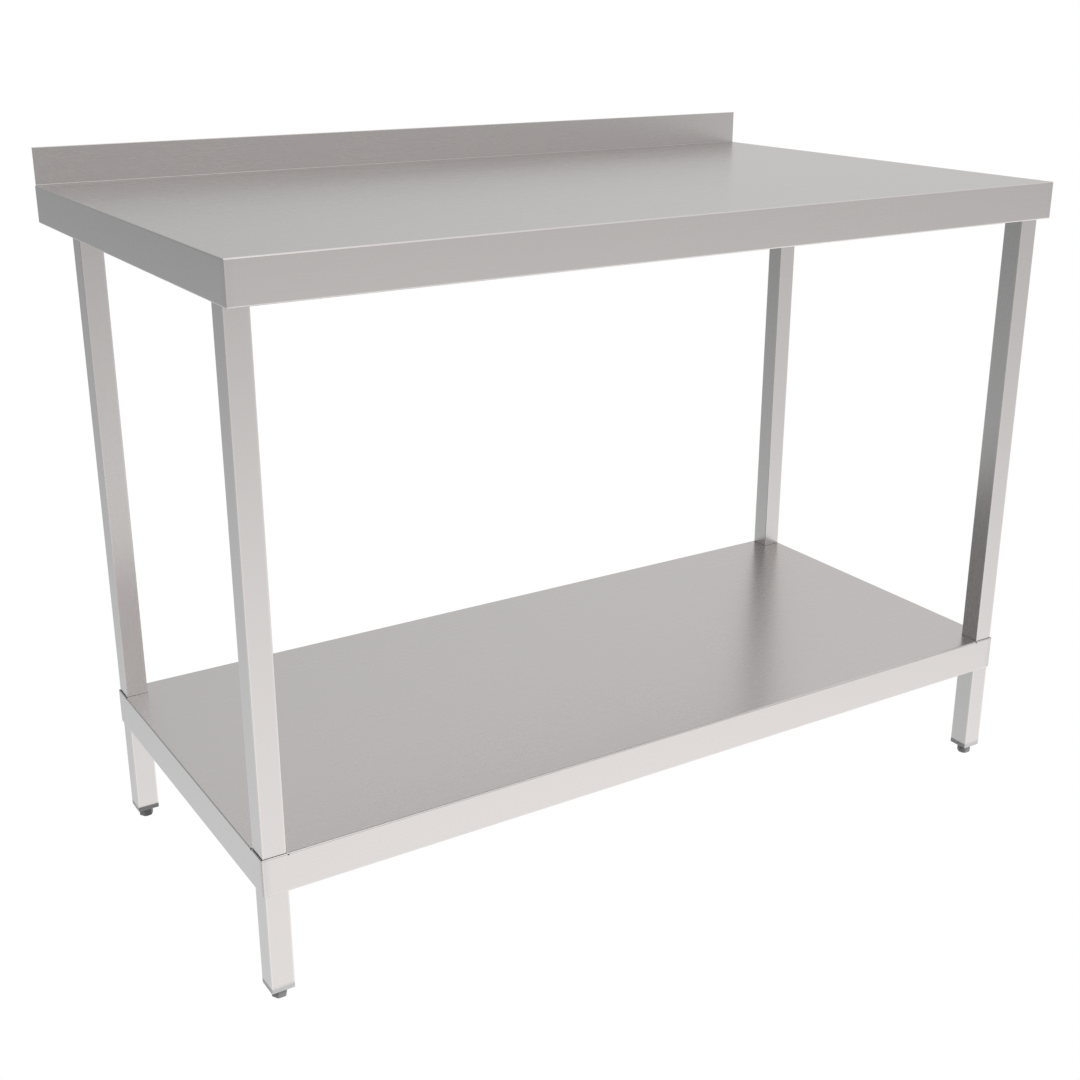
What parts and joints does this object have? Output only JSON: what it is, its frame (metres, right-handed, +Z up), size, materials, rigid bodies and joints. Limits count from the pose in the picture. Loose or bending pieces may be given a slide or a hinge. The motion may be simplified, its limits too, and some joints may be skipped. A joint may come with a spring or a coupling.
{
  "type": "stainless work table",
  "caption": "Stainless steel work table: folded worktop with a rear upstand on square legs, a fixed undershelf with folded edges, and screw-adjusted hexagonal levelling feet.",
  "frame": {"origin": "on the floor, under the middle of the worktop", "axes": "+X to the right along the worktop's length, +Y from the front to the rear upstand, +Z up"},
  "size_m": [1.2, 0.7, 0.94],
  "materials": {
    "worktop_steel": "fine brushed satin stainless, grain along the length",
    "shelf_steel": "fine brushed satin stainless, grain along the length",
    "tube_steel": "satin stainless tube, grain along the tube",
    "channel_steel": "plain mill-finish folded channel",
    "bracket_steel": "plain mill-finish plate",
    "fastener_steel": "plain stainless fasteners",
    "cap_plastic": "moulded grey plastic, fine grain",
    "foot_plastic": "moulded dark grey plastic",
    "glide_plastic": "moulded black plastic",
    "bush_brass": "turned brass"
  },
  "bodies": {
    "frame": {"worktop_pan": "worktop_steel", "shelf_pan": "shelf_steel", "top_stiffener_left": "channel_steel", "top_stiffener_middle": "channel_steel", "top_stiffener_right": "channel_steel", "shelf_stiffener_left": "channel_steel", "shelf_stiffener_right": "channel_steel", "leg_front_left": "tube_steel", "leg_front_right": "tube_steel", "leg_rear_left": "tube_steel", "leg_rear_right": "tube_steel", "leg_bracket_front_left": "bracket_steel", "leg_bracket_front_right": "bracket_steel", "leg_bracket_rear_left": "bracket_steel", "leg_bracket_rear_right": "bracket_steel", "shelf_bracket_front_left": "bracket_steel", "shelf_bracket_front_right": "bracket_steel", "shelf_bracket_rear_left": "bracket_steel", "shelf_bracket_rear_right": "bracket_steel", "end_cap_front_left": "cap_plastic", "end_cap_front_right": "cap_plastic", "end_cap_rear_left": "cap_plastic", "end_cap_rear_right": "cap_plastic", "threaded_bush_front_left": "bush_brass", "threaded_bush_front_right": "bush_brass", "threaded_bush_rear_left": "bush_brass", "threaded_bush_rear_right": "bush_brass", "top_weld_studs": "fastener_steel", "top_stud_washers": "fastener_steel", "top_stud_nuts": "fastener_steel", "leg_top_bolts": "fastener_steel", "leg_top_washers": "fastener_steel", "leg_top_weld_nuts": "fastener_steel", "shelf_bolts": "fastener_steel", "shelf_washers": "fastener_steel", "shelf_weld_nuts": "fastener_steel"},
    "glide_front_left": {"foot_glide_front_left": "glide_plastic"},
    "screw_front_left": {"foot_hex_front_left": "foot_plastic", "foot_stud_front_left": "fastener_steel"},
    "glide_front_right": {"foot_glide_front_right": "glide_plastic"},
    "screw_front_right": {"foot_hex_front_right": "foot_plastic", "foot_stud_front_right": "fastener_steel"},
    "glide_rear_left": {"foot_glide_rear_left": "glide_plastic"},
    "screw_rear_left": {"foot_hex_rear_left": "foot_plastic", "foot_stud_rear_left": "fastener_steel"},
    "glide_rear_right": {"foot_glide_rear_right": "glide_plastic"},
    "screw_rear_right": {"foot_hex_rear_right": "foot_plastic", "foot_stud_rear_right": "fastener_steel"}
  },
  "joints": [
    {"name": "foot_height_front_left", "type": "slide", "parent": "frame", "child": "glide_front_left", "axis": [0, 0, -1], "range_m": [0, 0.02]},
    {"name": "foot_turn_front_left", "type": "hinge", "parent": "glide_front_left", "child": "screw_front_left", "pos_m": [-0.5825, -0.3155, 0.008], "axis": [0, 0, -1], "range_deg": [0, 4800]},
    {"name": "foot_height_front_right", "type": "slide", "parent": "frame", "child": "glide_front_right", "axis": [0, 0, -1], "range_m": [0, 0.02]},
    {"name": "foot_turn_front_right", "type": "hinge", "parent": "glide_front_right", "child": "screw_front_right", "pos_m": [0.5825, -0.3155, 0.008], "axis": [0, 0, -1], "range_deg": [0, 4800]},
    {"name": "foot_height_rear_left", "type": "slide", "parent": "frame", "child": "glide_rear_left", "axis": [0, 0, -1], "range_m": [0, 0.02]},
    {"name": "foot_turn_rear_left", "type": "hinge", "parent": "glide_rear_left", "child": "screw_rear_left", "pos_m": [-0.5825, 0.1835, 0.008], "axis": [0, 0, -1], "range_deg": [0, 4800]},
    {"name": "foot_height_rear_right", "type": "slide", "parent": "frame", "child": "glide_rear_right", "axis": [0, 0, -1], "range_m": [0, 0.02]},
    {"name": "foot_turn_rear_right", "type": "hinge", "parent": "glide_rear_right", "child": "screw_rear_right", "pos_m": [0.5825, 0.1835, 0.008], "axis": [0, 0, -1], "range_deg": [0, 4800]}
  ],
  "couplings": [
    {"joint": "foot_turn_front_left", "follows": "foot_height_front_left", "rad_per_m": 4188.8},
    {"joint": "foot_turn_front_right", "follows": "foot_height_front_right", "rad_per_m": 4188.8},
    {"joint": "foot_turn_rear_left", "follows": "foot_height_rear_left", "rad_per_m": 4188.8},
    {"joint": "foot_turn_rear_right", "follows": "foot_height_rear_right", "rad_per_m": 4188.8}
  ]
}
